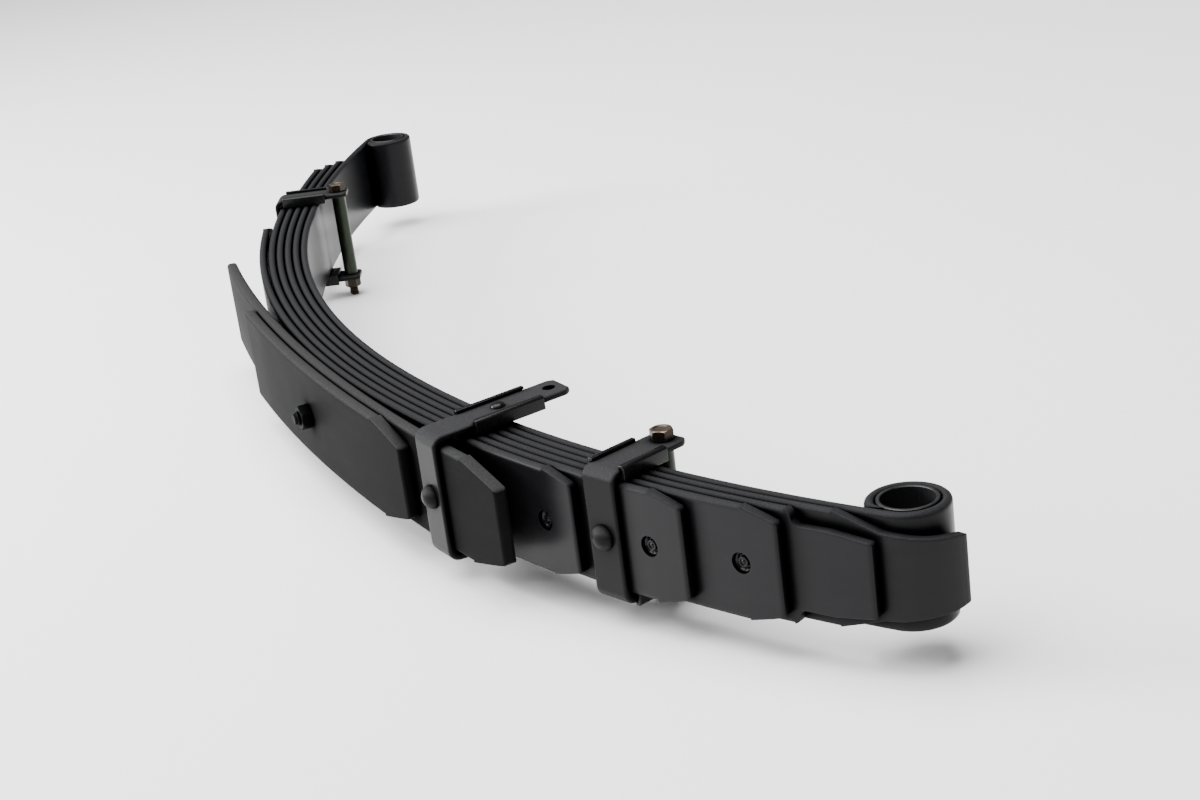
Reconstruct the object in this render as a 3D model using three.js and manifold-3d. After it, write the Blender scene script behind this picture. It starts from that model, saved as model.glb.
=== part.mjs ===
// A multi-leaf suspension spring lying on its side: six pack leaves, two flatter helper leaves,
// three U clips, a centre bolt and a bush in each eye. Millimetres, +Z up.
// +X runs along the chord of the spring to its front eye, and +Y points to its concave side.
import * as THREE from 'three';
import { mergeVertices } from 'three/addons/utils/BufferGeometryUtils.js';
import Module from 'manifold-3d';

const wasm = await Module();
wasm.setup();

// ---- driving dimensions ----
const GAP = 0.3;                    // clearance between pieces that touch
const LEAF_WIDTH = 70;
const HALF_WIDTH = LEAF_WIDTH / 2;

const LEAF_THICKNESS = 6.2;
const LEAF_PITCH = LEAF_THICKNESS + GAP;
const PACK_LEAVES = 6;
const HELPER_THICKNESS = 8.6;
const HELPER_PITCH = HELPER_THICKNESS + GAP;

// Stations are lengths along a leaf from the centre bolt, positive towards the front eye.
// Each side is a run of tangent arcs: its radius holds until that distance from the bolt.
const PACK_FRONT_ARCS = [{ until: 150, radius: 1085 }, { until: Infinity, radius: 953 }];
const PACK_REAR_ARCS = [{ until: 420, radius: 1085 }, { until: Infinity, radius: 1430 }];
const HELPER_ARCS = [{ until: Infinity, radius: 2044 }];

// Each pack leaf is flatter than the main leaf by this curvature (1/mm), so the gaps between
// the leaves open towards their tips.
const FRONT_FLATTENING = [0, 0, 0.7e-5, 1.5e-5, 2.3e-5, 3.1e-5];
const REAR_FLATTENING = [0, 0.9e-5, 1.7e-5, 2.5e-5, 3.3e-5, 5.9e-5];

const FRONT_EYE = 506;
const REAR_EYE = -743;
const FRONT_CLIP = 332;
const REAR_CLIP = -494;
const MIDDLE_CLIP = 206;            // measured along the first helper leaf

const BUSH_BORE = 15.3;             // radii of the eye and its steel bush
const BUSH_OUTER = 17.5;
const EYE_BORE = BUSH_OUTER + GAP;
const EYE_WRAP = THREE.MathUtils.degToRad(340);
const EYE_SCARF = EYE_BORE - 0.6;   // the curl's end is cut along a plane this far from its axis

const WRAPPER_RADIUS = 28;          // inside of the loose wrapper round the front eye
const WRAPPER_SHIFT = 1.8;          // its centre stands this far beyond the eye's
const WRAPPER_TURN = THREE.MathUtils.degToRad(81);
const WRAPPER_HALF_WIDTH = 26;
const WRAPPER_TOP_HALF_WIDTH = 21.8;  // where its end corners are cropped
const WRAPPER_END_HALF_WIDTH = 19.3;

const LEAF_STEP = 30;               // length of a flat facet along a leaf
const CURL_STEP = THREE.MathUtils.degToRad(10);

const TRIM_DEPTH = 6.5;             // cropped corners at the end of a pack leaf
const TRIM_LENGTH = 25;
const HELPER_TRIM_DEPTH = 10.5;
const HELPER_TRIM_LENGTH = 43;
const END_BOW = 1.6;                // a cropped end bulges by this much in the middle
const SHOULDER = 449.5;             // the third leaf narrows to a tongue here
const TONGUE_HALF_WIDTH = 25.5;
const TONGUE_TIP_HALF_WIDTH = 22.3;
const TONGUE_TRIM = 26;

const BUTTON_INSET = 27;            // from a leaf's end to its tip button
const BUTTON_HOLE = 6.5;

const CENTRE_BOLT = 5;              // M10 radius
const CENTRE_HEAD_RADIUS = 8;
const CENTRE_HEAD_HEIGHT = 7;
const CENTRE_NUT_FLATS = 16;
const CENTRE_NUT_HEIGHT = 8;
const CENTRE_STUD = 4;              // thread showing beyond the nut

const STRAP_WIDTH = 26;
const STRAP_THICKNESS = 4;
const STRAP_BEND = 3.5;             // inside radius of the strap's corners
const LINER_THICKNESS = 2.5;
const LINER_WALL = 2.2;
const LINER_LIP = 2.3;              // how far a lip reaches over the strap
const LINER_BUTTON = 3;
const EAR_INNER = HALF_WIDTH + GAP + LINER_THICKNESS + GAP;
const EAR_OUTER = EAR_INNER + STRAP_THICKNESS;

const CLIP_BOLT = 4;                // M8 radius
const CLIP_BOLT_FLATS = 13;
const CLIP_HEAD_HEIGHT = 6.6;
const CLIP_NUT_HEIGHT = 8;
const CLIP_BOLT_STUD = 8.5;         // thread showing beyond the nut
const SPACER_OUTER = 6.2;

const RIVET_SHANK = 4;
const RIVET_DOME = 7.8;
const RIVET_HEIGHT = 6.2;

// The outer face of the second helper leaf, where the nut and the axle bear.
const SEAT = PACK_LEAVES * LEAF_PITCH + 2 * HELPER_PITCH - GAP;

// ---- materials ----
function painted(colour, roughness) {
  return new THREE.MeshStandardMaterial({ color: colour, roughness, metalness: 0.2 });
}

const BLACK_PAINT = painted(0x242528, 0.45);
const HELPER_PAINT = painted(0x2b2c30, 0.45);
const BLACK_PLASTIC = new THREE.MeshStandardMaterial({ color: 0x17171a, roughness: 0.7 });
const BUSH_STEEL = new THREE.MeshStandardMaterial({ color: 0x3a3b3f, roughness: 0.35, metalness: 0.8 });
const YELLOW_ZINC = new THREE.MeshStandardMaterial({ color: 0x8c7448, roughness: 0.35, metalness: 0.9 });
const OLIVE_ZINC = new THREE.MeshStandardMaterial({ color: 0x5d6144, roughness: 0.45, metalness: 0.8 });

// ---- curves and frames along the spring ----
const UP = new THREE.Vector3(0, 0, 1);

// Directions across and along a leaf whose tangent stands at an angle to the X axis.
function outward(angle) {
  return new THREE.Vector3(Math.sin(angle), -Math.cos(angle), 0);
}

function forward(angle) {
  return new THREE.Vector3(Math.cos(angle), Math.sin(angle), 0);
}

// The point and tangent angle at a station, at an offset outward from the curve.
function locate(curve, station, offset = 0) {
  const way = station < 0 ? -1 : 1;
  const point = curve.start.clone();
  let angle = curve.angle;
  let done = 0;
  for (const { until, radius } of way > 0 ? curve.front : curve.rear) {
    const length = Math.min(Math.abs(station), until) - done;
    if (length > 0) {
      const next = angle + way * length / radius;
      point.addScaledVector(outward(next).sub(outward(angle)), radius);
      angle = next;
      done += length;
    }
  }
  return { point: point.addScaledVector(outward(angle), offset), angle };
}

function packCurve(angle) {
  return { start: new THREE.Vector3(), angle, front: PACK_FRONT_ARCS, rear: PACK_REAR_ARCS };
}

// The tangent angle at the bolt that brings the two eye centres level.
function levelAngle() {
  const trial = packCurve(0);
  const front = locate(trial, FRONT_EYE, -EYE_BORE).point;
  const rear = locate(trial, REAR_EYE, -EYE_BORE).point;
  return -Math.atan2(front.y - rear.y, front.x - rear.x);
}

const BOLT_ANGLE = levelAngle();
const PACK = packCurve(BOLT_ANGLE);
const HELPERS = {
  start: locate(PACK, 0, PACK_LEAVES * LEAF_PITCH).point,
  angle: BOLT_ANGLE,
  front: HELPER_ARCS,
  rear: HELPER_ARCS,
};

// The curve that a pack leaf follows; level counts out from the main leaf, which is 1.
function leafCurve(level) {
  const flatten = (arcs, flattening) => arcs.map(({ until, radius }) => (
    { until, radius: 1 / (1 / radius - flattening) }));
  return {
    ...PACK,
    front: flatten(PACK_FRONT_ARCS, FRONT_FLATTENING[level - 1]),
    rear: flatten(PACK_REAR_ARCS, REAR_FLATTENING[level - 1]),
  };
}

// A local frame: x forward along the leaf, y up, z outward.
function frameAt(point, angle) {
  return new THREE.Matrix4().makeBasis(forward(angle), UP, outward(angle)).setPosition(point);
}

function leafFrame(curve, station, offset) {
  const { point, angle } = locate(curve, station, offset);
  return frameAt(point, angle);
}

// The same place, for an outline drawn in the plane across the leaf: x up, y outward, z forward.
function crossFrame(curve, station, offset) {
  const { point, angle } = locate(curve, station, offset);
  return new THREE.Matrix4().makeBasis(UP, outward(angle), forward(angle)).setPosition(point);
}

// The same place with its z axis upright: x forward, y inward.
function uprightFrame(curve, station, offset) {
  const { point, angle } = locate(curve, station, offset);
  return new THREE.Matrix4().makeBasis(forward(angle), outward(angle).negate(), UP).setPosition(point);
}

// ---- solids ----
function solid(geometry) {
  const bare = geometry.clone();
  bare.deleteAttribute('normal');
  bare.deleteAttribute('uv');
  const merged = mergeVertices(bare, 1e-4);
  return new wasm.Manifold(new wasm.Mesh({
    numProp: 3,
    vertProperties: new Float32Array(merged.attributes.position.array),
    triVerts: new Uint32Array(merged.index.array),
  }));
}

function geometryOf(manifold) {
  const mesh = manifold.getMesh();
  const geometry = new THREE.BufferGeometry();
  geometry.setAttribute('position', new THREE.BufferAttribute(mesh.vertProperties, 3));
  geometry.setIndex(new THREE.BufferAttribute(mesh.triVerts, 1));
  geometry.computeVertexNormals();
  return geometry;
}

function prism(outline, from, to, frame = new THREE.Matrix4()) {
  const shape = outline instanceof THREE.Shape ? outline : new THREE.Shape(outline);
  const geometry = new THREE.ExtrudeGeometry(shape, {
    depth: to - from,
    bevelEnabled: false,
    curveSegments: 6,
  });
  return solid(geometry.translate(0, 0, from).applyMatrix4(frame));
}

// A turned piece on the z axis of its frame, from a closed [radius, height] profile.
function turned(profile, frame, sides = 24) {
  const points = profile.map(([radius, height]) => new THREE.Vector2(radius, height));
  const geometry = new THREE.LatheGeometry(points, sides);
  return solid(geometry.rotateX(Math.PI / 2).applyMatrix4(frame));
}

function rod(radius, from, to, frame, sides = 24) {
  return turned([[0, from], [radius, from], [radius, to], [0, to]], frame, sides);
}

function tube(inner, outer, from, to, frame, sides = 24) {
  return turned([[inner, from], [outer, from], [outer, to], [inner, to], [inner, from]], frame, sides);
}

function hexagon(flats, from, to, frame) {
  const corners = [];
  for (let i = 0; i < 6; i += 1) {
    const angle = (i + 0.5) * Math.PI / 3;
    const radius = flats / Math.sqrt(3);
    corners.push(new THREE.Vector2(radius * Math.cos(angle), radius * Math.sin(angle)));
  }
  return prism(corners, from, to, frame);
}

// ---- leaves ----
// Stations from one end to the other, the inner ones on a common grid so that facing facets
// of neighbouring leaves stay parallel.
function leafStations(from, to) {
  const stations = [from];
  const first = Math.ceil((from + 3) / LEAF_STEP - 0.5);
  for (let i = first; (i + 0.5) * LEAF_STEP < to - 3; i += 1) {
    stations.push((i + 0.5) * LEAF_STEP);
  }
  stations.push(to);
  return stations;
}

function flat(vector) {
  return new THREE.Vector2(vector.x, vector.y);
}

// The two faces of a leaf curled round a centre, turning on by sweep from a tangent angle.
// way is +1 at the front end and -1 at the rear. outerRadius gives the outer face at a turn.
function curl(centre, innerRadius, tangentAngle, sweep, way, outerRadius) {
  const inner = [];
  const outer = [];
  const steps = Math.ceil(sweep / CURL_STEP);
  for (let i = 1; i <= steps; i += 1) {
    const turn = sweep * i / steps;
    const direction = outward(tangentAngle + way * turn);
    inner.push(flat(centre.clone().addScaledVector(direction, innerRadius)));
    outer.push(flat(centre.clone().addScaledVector(direction, outerRadius(turn))));
  }
  return { inner, outer };
}

// A leaf between two stations with its centre hole. front and rear are optional curled ends.
function leafSolid(curve, offset, thickness, from, to, front, rear) {
  const stations = leafStations(from, to);
  let inner = stations.map((station) => flat(locate(curve, station, offset).point));
  let outer = stations.map((station) => flat(locate(curve, station, offset + thickness).point));
  if (front) {
    inner = inner.concat(front.inner);
    outer = outer.concat(front.outer);
  }
  if (rear) {
    inner = rear.inner.slice().reverse().concat(inner);
    outer = rear.outer.slice().reverse().concat(outer);
  }
  const body = prism(outer.concat(inner.reverse()), -HALF_WIDTH, HALF_WIDTH);
  return body.subtract(rod(CENTRE_BOLT + GAP, -1, thickness + 1, leafFrame(curve, 0, offset)));
}

// Cuts an outline drawn above the middle line, and its mirror image below, through a leaf.
// way is +1 where the outline's x runs to the front, -1 where it runs to the rear.
function cutBothEdges(body, outline, frame, depth, way = 1) {
  let result = body;
  for (const side of [1, -1]) {
    const cutter = outline.map(([x, y]) => new THREE.Vector2(way * x, side * y));
    result = result.subtract(prism(cutter, -depth, depth, frame));
  }
  return result;
}

// Crops the two corners of a leaf's plain end and bows the edge between them.
function cropEnd(body, curve, end, offset, thickness, depth, length) {
  const outline = [[-length, HALF_WIDTH]];
  for (let i = 4; i >= 0; i -= 1) {
    outline.push([-END_BOW * (i / 4) ** 2, (HALF_WIDTH - depth) * i / 4]);
  }
  outline.push([2, 0], [2, HALF_WIDTH + 5], [-length, HALF_WIDTH + 5]);
  return cutBothEdges(body, outline, leafFrame(curve, end, offset), 2 * thickness, Math.sign(end));
}

function packOffset(level) {
  return (level - 1) * LEAF_PITCH;
}

function cropPackEnd(body, end, level) {
  const offset = packOffset(level);
  return cropEnd(body, leafCurve(level), end, offset, LEAF_THICKNESS, TRIM_DEPTH, TRIM_LENGTH);
}

function helperOffset(level) {
  return (level - 1) * HELPER_PITCH;
}

// An eye closes on the leaf that it is curled from: its end is scarfed along the leaf's face.
function eyeCurl(station, way) {
  const centre = locate(PACK, station, -EYE_BORE);
  const full = EYE_BORE + LEAF_THICKNESS;
  const outerRadius = (turn) => {
    const scarf = EYE_SCARF / Math.cos(turn);
    return turn > 1.6 * Math.PI ? Math.min(full, scarf) : full;
  };
  return curl(centre.point, EYE_BORE, centre.angle, EYE_WRAP, way, outerRadius);
}

function mainLeaf() {
  const front = eyeCurl(FRONT_EYE, 1);
  const rear = eyeCurl(REAR_EYE, -1);
  return leafSolid(PACK, 0, LEAF_THICKNESS, REAR_EYE, FRONT_EYE, front, rear);
}

// The second leaf runs round the outside of the front eye as a loose, narrower wrapper.
function wrapperLeaf(rearEnd) {
  const offset = packOffset(2);
  const tangent = FRONT_EYE + WRAPPER_SHIFT;
  const { point, angle } = locate(PACK, tangent, offset - WRAPPER_RADIUS);
  const outerRadius = () => WRAPPER_RADIUS + LEAF_THICKNESS;
  const wrap = curl(point, WRAPPER_RADIUS, angle, WRAPPER_TURN, 1, outerRadius);
  let body = leafSolid(leafCurve(2), offset, LEAF_THICKNESS, rearEnd, tangent, wrap);
  const narrowing = [
    [-31, HALF_WIDTH],
    [-2, WRAPPER_HALF_WIDTH],
    [30, WRAPPER_TOP_HALF_WIDTH],
    [60, WRAPPER_TOP_HALF_WIDTH],
    [60, HALF_WIDTH + 5],
    [-31, HALF_WIDTH + 5],
  ];
  body = cutBothEdges(body, narrowing, leafFrame(PACK, FRONT_EYE, offset), 80);
  const corner = [
    [-9, WRAPPER_TOP_HALF_WIDTH],
    [1, WRAPPER_END_HALF_WIDTH],
    [1, HALF_WIDTH],
    [-9, HALF_WIDTH],
  ];
  const endAngle = angle + WRAPPER_TURN;
  const endPoint = point.clone().addScaledVector(outward(endAngle), WRAPPER_RADIUS);
  body = cutBothEdges(body, corner, frameAt(endPoint, endAngle), 12);
  return cropPackEnd(body, rearEnd, 2);
}

// The third leaf steps in at rounded shoulders to a narrower tongue.
function tongueLeaf(rearEnd, frontEnd) {
  const offset = packOffset(3);
  const length = frontEnd - SHOULDER;
  const bend = (HALF_WIDTH - TONGUE_HALF_WIDTH) / 2;
  const outline = [];
  for (let i = 0; i <= 4; i += 1) {
    const turn = i / 4 * Math.PI / 2;
    outline.push([bend * Math.sin(turn), HALF_WIDTH - bend * (1 - Math.cos(turn))]);
  }
  for (let i = 1; i <= 4; i += 1) {
    const turn = i / 4 * Math.PI / 2;
    outline.push([bend * (2 - Math.cos(turn)), TONGUE_HALF_WIDTH + bend * (1 - Math.sin(turn))]);
  }
  outline.push([length - TONGUE_TRIM, TONGUE_HALF_WIDTH]);
  outline.push([length, TONGUE_TIP_HALF_WIDTH]);
  outline.push([length + 5, TONGUE_TIP_HALF_WIDTH]);
  outline.push([length + 5, HALF_WIDTH + 5]);
  outline.push([0, HALF_WIDTH + 5]);
  let body = leafSolid(leafCurve(3), offset, LEAF_THICKNESS, rearEnd, frontEnd);
  body = cutBothEdges(body, outline, leafFrame(leafCurve(3), SHOULDER, offset), 20);
  return cropPackEnd(body, rearEnd, 3);
}

// A plain leaf with cropped ends, holes for tip buttons and holes for clip rivets.
function plainLeaf(level, ends, buttonEnds, rivets) {
  const curve = leafCurve(level);
  const offset = packOffset(level);
  let body = leafSolid(curve, offset, LEAF_THICKNESS, ...ends);
  for (const end of ends) {
    body = cropPackEnd(body, end, level);
  }
  for (const end of buttonEnds) {
    const button = leafFrame(curve, buttonStation(end), offset);
    body = body.subtract(rod(BUTTON_HOLE, -1, LEAF_THICKNESS + 1, button));
  }
  for (const station of rivets) {
    const rivetFrame = leafFrame(curve, station, offset);
    body = body.subtract(rod(RIVET_SHANK + GAP, -1, LEAF_THICKNESS + 1, rivetFrame));
  }
  return body;
}

// A helper leaf is square at its rear end and cropped at its front end.
function helperLeaf(level, rearEnd, frontEnd, rivets) {
  const offset = helperOffset(level);
  let body = leafSolid(HELPERS, offset, HELPER_THICKNESS, rearEnd, frontEnd);
  body = cropEnd(body, HELPERS, frontEnd, offset, HELPER_THICKNESS, HELPER_TRIM_DEPTH, HELPER_TRIM_LENGTH);
  for (const station of rivets) {
    const rivetFrame = leafFrame(HELPERS, station, offset);
    body = body.subtract(rod(RIVET_SHANK + GAP, -1, HELPER_THICKNESS + 1, rivetFrame));
  }
  return body;
}

// ---- small pieces ----
function buttonStation(end) {
  return end - Math.sign(end) * BUTTON_INSET;
}

// A pad button sunk in its hole, with a rim, a groove and a nub.
function tipButton(level, end) {
  const frame = leafFrame(leafCurve(level), buttonStation(end), packOffset(level));
  const radius = BUTTON_HOLE - GAP;
  const profile = [
    [0, 0.4], [radius, 0.4], [radius, 4.6], [radius - 1.3, 4.6],
    [radius - 1.9, 3], [2.2, 3], [1.8, 4.4], [0, 4.8],
  ];
  return turned(profile, frame, 20);
}

function bush(station) {
  const frame = uprightFrame(PACK, station, -EYE_BORE);
  return tube(BUSH_BORE, BUSH_OUTER, -HALF_WIDTH, HALF_WIDTH, frame, 36);
}

function centreBolt() {
  const tip = SEAT + GAP + CENTRE_NUT_HEIGHT + CENTRE_STUD;
  return turned([
    [0, -GAP - CENTRE_HEAD_HEIGHT],
    [CENTRE_HEAD_RADIUS - 1, -GAP - CENTRE_HEAD_HEIGHT],
    [CENTRE_HEAD_RADIUS, 1 - GAP - CENTRE_HEAD_HEIGHT],
    [CENTRE_HEAD_RADIUS, -GAP],
    [CENTRE_BOLT, -GAP],
    [CENTRE_BOLT, tip - 1],
    [CENTRE_BOLT - 1, tip],
    [0, tip],
  ], leafFrame(PACK, 0, 0));
}

function centreNut() {
  const frame = leafFrame(PACK, 0, SEAT + GAP);
  const bore = rod(CENTRE_BOLT + GAP, -1, CENTRE_NUT_HEIGHT + 1, frame);
  return hexagon(CENTRE_NUT_FLATS, 0, CENTRE_NUT_HEIGHT, frame).subtract(bore);
}

// ---- clips ----
// Every clip is described from the outer face of the leaf that carries it. Depths run inward:
// end is how far the ears reach, bolt where their bolt holes are, liner the stretch that is lined.
// splay is how far each ear leans out from the leaf edges.
const SHORT_CLIP = {
  curve: leafCurve(5),
  face: packOffset(5) + LEAF_THICKNESS,
  carrier: LEAF_THICKNESS,
  splay: 0,
};
const CLIPS = {
  front_clip: { station: FRONT_CLIP, ...SHORT_CLIP, end: 60, bolt: 51, liner: [4, 40] },
  rear_clip: { station: REAR_CLIP, ...SHORT_CLIP, end: 63, bolt: 54, liner: [4, 43] },
  middle_clip: {
    station: MIDDLE_CLIP,
    curve: HELPERS,
    face: HELPER_THICKNESS,
    carrier: HELPER_THICKNESS,
    splay: THREE.MathUtils.degToRad(2.9),
    end: 97.5,
    bolt: 88,
    liner: [26.5, 76],
    button: 50.5,
  },
};

function clipLeafFrame(clip) {
  return leafFrame(clip.curve, clip.station, clip.face);
}

// The leaf frame swung with one ear of the clip: side is +1 for the upper ear, -1 for the lower.
function earFrame(clip, side) {
  const bend = new THREE.Matrix4().makeTranslation(0, side * (EAR_INNER - STRAP_BEND), GAP - STRAP_BEND);
  const swing = new THREE.Matrix4().makeRotationX(side * clip.splay);
  return clipLeafFrame(clip).multiply(bend).multiply(swing).multiply(bend.clone().invert());
}

// A frame at a depth along an ear, with its z axis pointing out through the ear.
function throughEar(clip, side, depth) {
  return earFrame(clip, side)
    .multiply(new THREE.Matrix4().makeTranslation(0, 0, -depth))
    .multiply(new THREE.Matrix4().makeRotationX(-side * Math.PI / 2));
}

function strap(clip) {
  const outerBend = STRAP_BEND + STRAP_THICKNESS;
  const corner = EAR_INNER - STRAP_BEND;
  const bendLevel = GAP - STRAP_BEND;
  const length = clip.end + bendLevel;
  const across = (radius) => corner + radius * Math.cos(clip.splay) + length * Math.sin(clip.splay);
  const along = (radius) => bendLevel + radius * Math.sin(clip.splay) - length * Math.cos(clip.splay);
  const shape = new THREE.Shape();
  shape.moveTo(across(outerBend), along(outerBend));
  shape.absarc(corner, bendLevel, outerBend, clip.splay, Math.PI / 2, false);
  shape.absarc(-corner, bendLevel, outerBend, Math.PI / 2, Math.PI - clip.splay, false);
  shape.lineTo(-across(outerBend), along(outerBend));
  shape.lineTo(-across(STRAP_BEND), along(STRAP_BEND));
  shape.absarc(-corner, bendLevel, STRAP_BEND, Math.PI - clip.splay, Math.PI / 2, true);
  shape.absarc(corner, bendLevel, STRAP_BEND, Math.PI / 2, clip.splay, true);
  shape.lineTo(across(STRAP_BEND), along(STRAP_BEND));
  const frame = crossFrame(clip.curve, clip.station, clip.face);
  let body = prism(shape, -STRAP_WIDTH / 2, STRAP_WIDTH / 2, frame)
    .subtract(rod(RIVET_SHANK + GAP, -1, STRAP_THICKNESS + 2, clipLeafFrame(clip)));
  for (const side of [1, -1]) {
    body = body.subtract(rod(CLIP_BOLT + GAP, 0, 60, throughEar(clip, side, clip.bolt)));
    if (clip.button) {
      body = body.subtract(rod(LINER_BUTTON + GAP, 0, 60, throughEar(clip, side, clip.button)));
    }
  }
  return body;
}

// A plastic channel on the inside of an ear, folded over both edges of the strap.
function liner(clip, side) {
  const half = STRAP_WIDTH / 2 + GAP;
  const wall = half + LINER_WALL;
  const low = HALF_WIDTH + GAP;
  const floor = low + LINER_THICKNESS;
  const lip = EAR_OUTER + GAP;
  const top = lip + 2;
  const outline = [
    [-wall, low], [wall, low], [wall, top - 1.2], [wall - 1.2, top], [half - LINER_LIP, top],
    [half - LINER_LIP, lip], [half, lip], [half, floor], [-half, floor], [-half, lip],
    [LINER_LIP - half, lip], [LINER_LIP - half, top], [1.2 - wall, top], [-wall, top - 1.2],
  ];
  const points = outline.map(([x, y]) => new THREE.Vector2(x, side * y));
  const body = prism(points, -clip.liner[1], -clip.liner[0], earFrame(clip, side));
  if (!clip.button) {
    return body;
  }
  const profile = [
    [0, floor - 1], [LINER_BUTTON, floor - 1], [LINER_BUTTON, lip], [4.8, lip],
    [4.2, lip + 1.4], [2.4, lip + 2.2], [0, lip + 2.5],
  ];
  return body.add(turned(profile, throughEar(clip, side, clip.button), 20));
}

// A dome outside the strap and a shank through the strap and the leaf that carries it.
function rivet(clip) {
  const seat = GAP + STRAP_THICKNESS + GAP;
  const profile = [[0, 0.4 - clip.carrier], [RIVET_SHANK, 0.4 - clip.carrier], [RIVET_SHANK, seat]];
  for (let i = 0; i <= 5; i += 1) {
    const turn = i / 5 * Math.PI / 2;
    profile.push([RIVET_DOME * Math.cos(turn), seat + RIVET_HEIGHT * Math.sin(turn)]);
  }
  profile[profile.length - 1][0] = 0;
  return turned(profile, clipLeafFrame(clip));
}

function clipBoltFrame(clip) {
  return throughEar(clip, 1, clip.bolt);
}

function clipBolt(clip) {
  const frame = clipBoltFrame(clip);
  const under = EAR_OUTER + GAP;
  const tip = -(under + CLIP_NUT_HEIGHT + CLIP_BOLT_STUD);
  return hexagon(CLIP_BOLT_FLATS, under, under + CLIP_HEAD_HEIGHT, frame)
    .add(rod(CLIP_BOLT, tip, under + 1, frame));
}

function clipNut(clip) {
  const frame = clipBoltFrame(clip);
  const from = -(EAR_OUTER + GAP + CLIP_NUT_HEIGHT);
  const to = -(EAR_OUTER + GAP);
  return hexagon(CLIP_BOLT_FLATS, from, to, frame).subtract(rod(CLIP_BOLT + GAP, from - 1, to + 1, frame));
}

function spacer(clip) {
  return tube(CLIP_BOLT + GAP, SPACER_OUTER, GAP - EAR_INNER, EAR_INNER - GAP, clipBoltFrame(clip), 20);
}

// ---- the assembly ----
const spring = new THREE.Group();

function addPiece(name, manifold, material) {
  const mesh = new THREE.Mesh(geometryOf(manifold), material.clone());
  mesh.name = name;
  spring.add(mesh);
}

// Rear and front ends of the leaves, as stations.
const LEAF_ENDS = { 2: [-680], 3: [-668, 503], 4: [-654, 451], 5: [-520, 391], 6: [-440, 311.5] };

// Which ends carry a tip button. The fifth leaf has a clip rivet at its rear end instead.
const BUTTON_ENDS = { 4: LEAF_ENDS[4], 5: LEAF_ENDS[5].slice(1), 6: LEAF_ENDS[6] };

addPiece('leaf_1_main', mainLeaf(), BLACK_PAINT);
addPiece('leaf_2_wrapper', wrapperLeaf(LEAF_ENDS[2][0]), BLACK_PAINT);
addPiece('leaf_3', tongueLeaf(...LEAF_ENDS[3]), BLACK_PAINT);
addPiece('leaf_4', plainLeaf(4, LEAF_ENDS[4], BUTTON_ENDS[4], []), BLACK_PAINT);
addPiece('leaf_5', plainLeaf(5, LEAF_ENDS[5], BUTTON_ENDS[5], [FRONT_CLIP, REAR_CLIP]), BLACK_PAINT);
addPiece('leaf_6', plainLeaf(6, LEAF_ENDS[6], BUTTON_ENDS[6], []), BLACK_PAINT);
addPiece('helper_leaf_1', helperLeaf(1, -330, 286.5, [MIDDLE_CLIP]), HELPER_PAINT);
addPiece('helper_leaf_2', helperLeaf(2, -175, 175, []), HELPER_PAINT);

for (const [level, ends] of Object.entries(BUTTON_ENDS)) {
  for (const end of ends) {
    const side = end > 0 ? 'front' : 'rear';
    addPiece(`leaf_${level}_${side}_button`, tipButton(level, end), BLACK_PLASTIC);
  }
}

addPiece('front_eye_bush', bush(FRONT_EYE), BUSH_STEEL);
addPiece('rear_eye_bush', bush(REAR_EYE), BUSH_STEEL);
addPiece('centre_bolt', centreBolt(), BLACK_PAINT);
addPiece('centre_nut', centreNut(), BLACK_PAINT);

for (const [name, clip] of Object.entries(CLIPS)) {
  addPiece(`${name}_strap`, strap(clip), BLACK_PAINT);
  addPiece(`${name}_upper_liner`, liner(clip, 1), BLACK_PLASTIC);
  addPiece(`${name}_lower_liner`, liner(clip, -1), BLACK_PLASTIC);
  addPiece(`${name}_rivet`, rivet(clip), BLACK_PAINT);
  if (clip !== CLIPS.middle_clip) {
    addPiece(`${name}_bolt`, clipBolt(clip), YELLOW_ZINC);
    addPiece(`${name}_nut`, clipNut(clip), YELLOW_ZINC);
    addPiece(`${name}_spacer`, spacer(clip), OLIVE_ZINC);
  }
}

// The origin is the middle of the footprint, on the surface that the spring lies on.
const box = new THREE.Box3().setFromObject(spring, true);
const middle = box.getCenter(new THREE.Vector3());
spring.position.set(-middle.x, -middle.y, -box.min.z);

export default spring;
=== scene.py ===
"""Looks for a multi-leaf suspension spring that lies on its side: six pack leaves, two helper
leaves, three U clips, a centre bolt and a bush in each eye. Sizes are in millimetres times MM."""

import math
from collections import namedtuple

import bmesh
import bpy
from mathutils import Matrix, Vector


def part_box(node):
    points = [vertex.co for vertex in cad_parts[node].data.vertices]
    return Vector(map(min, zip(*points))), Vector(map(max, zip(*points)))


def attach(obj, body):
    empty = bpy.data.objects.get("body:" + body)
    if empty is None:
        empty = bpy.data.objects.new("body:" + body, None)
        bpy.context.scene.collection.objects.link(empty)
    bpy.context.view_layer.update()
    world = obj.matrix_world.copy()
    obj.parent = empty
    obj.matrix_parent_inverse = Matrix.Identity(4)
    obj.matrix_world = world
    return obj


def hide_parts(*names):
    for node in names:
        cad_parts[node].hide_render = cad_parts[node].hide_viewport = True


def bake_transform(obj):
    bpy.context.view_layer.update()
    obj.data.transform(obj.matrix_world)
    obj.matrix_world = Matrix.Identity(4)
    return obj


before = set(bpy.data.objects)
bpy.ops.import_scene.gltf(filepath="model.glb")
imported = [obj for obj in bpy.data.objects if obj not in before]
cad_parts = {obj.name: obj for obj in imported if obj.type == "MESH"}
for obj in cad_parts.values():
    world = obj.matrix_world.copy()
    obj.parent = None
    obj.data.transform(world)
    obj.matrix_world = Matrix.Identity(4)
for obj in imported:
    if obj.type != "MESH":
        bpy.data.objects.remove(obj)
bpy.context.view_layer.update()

MM = 0.001

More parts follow.
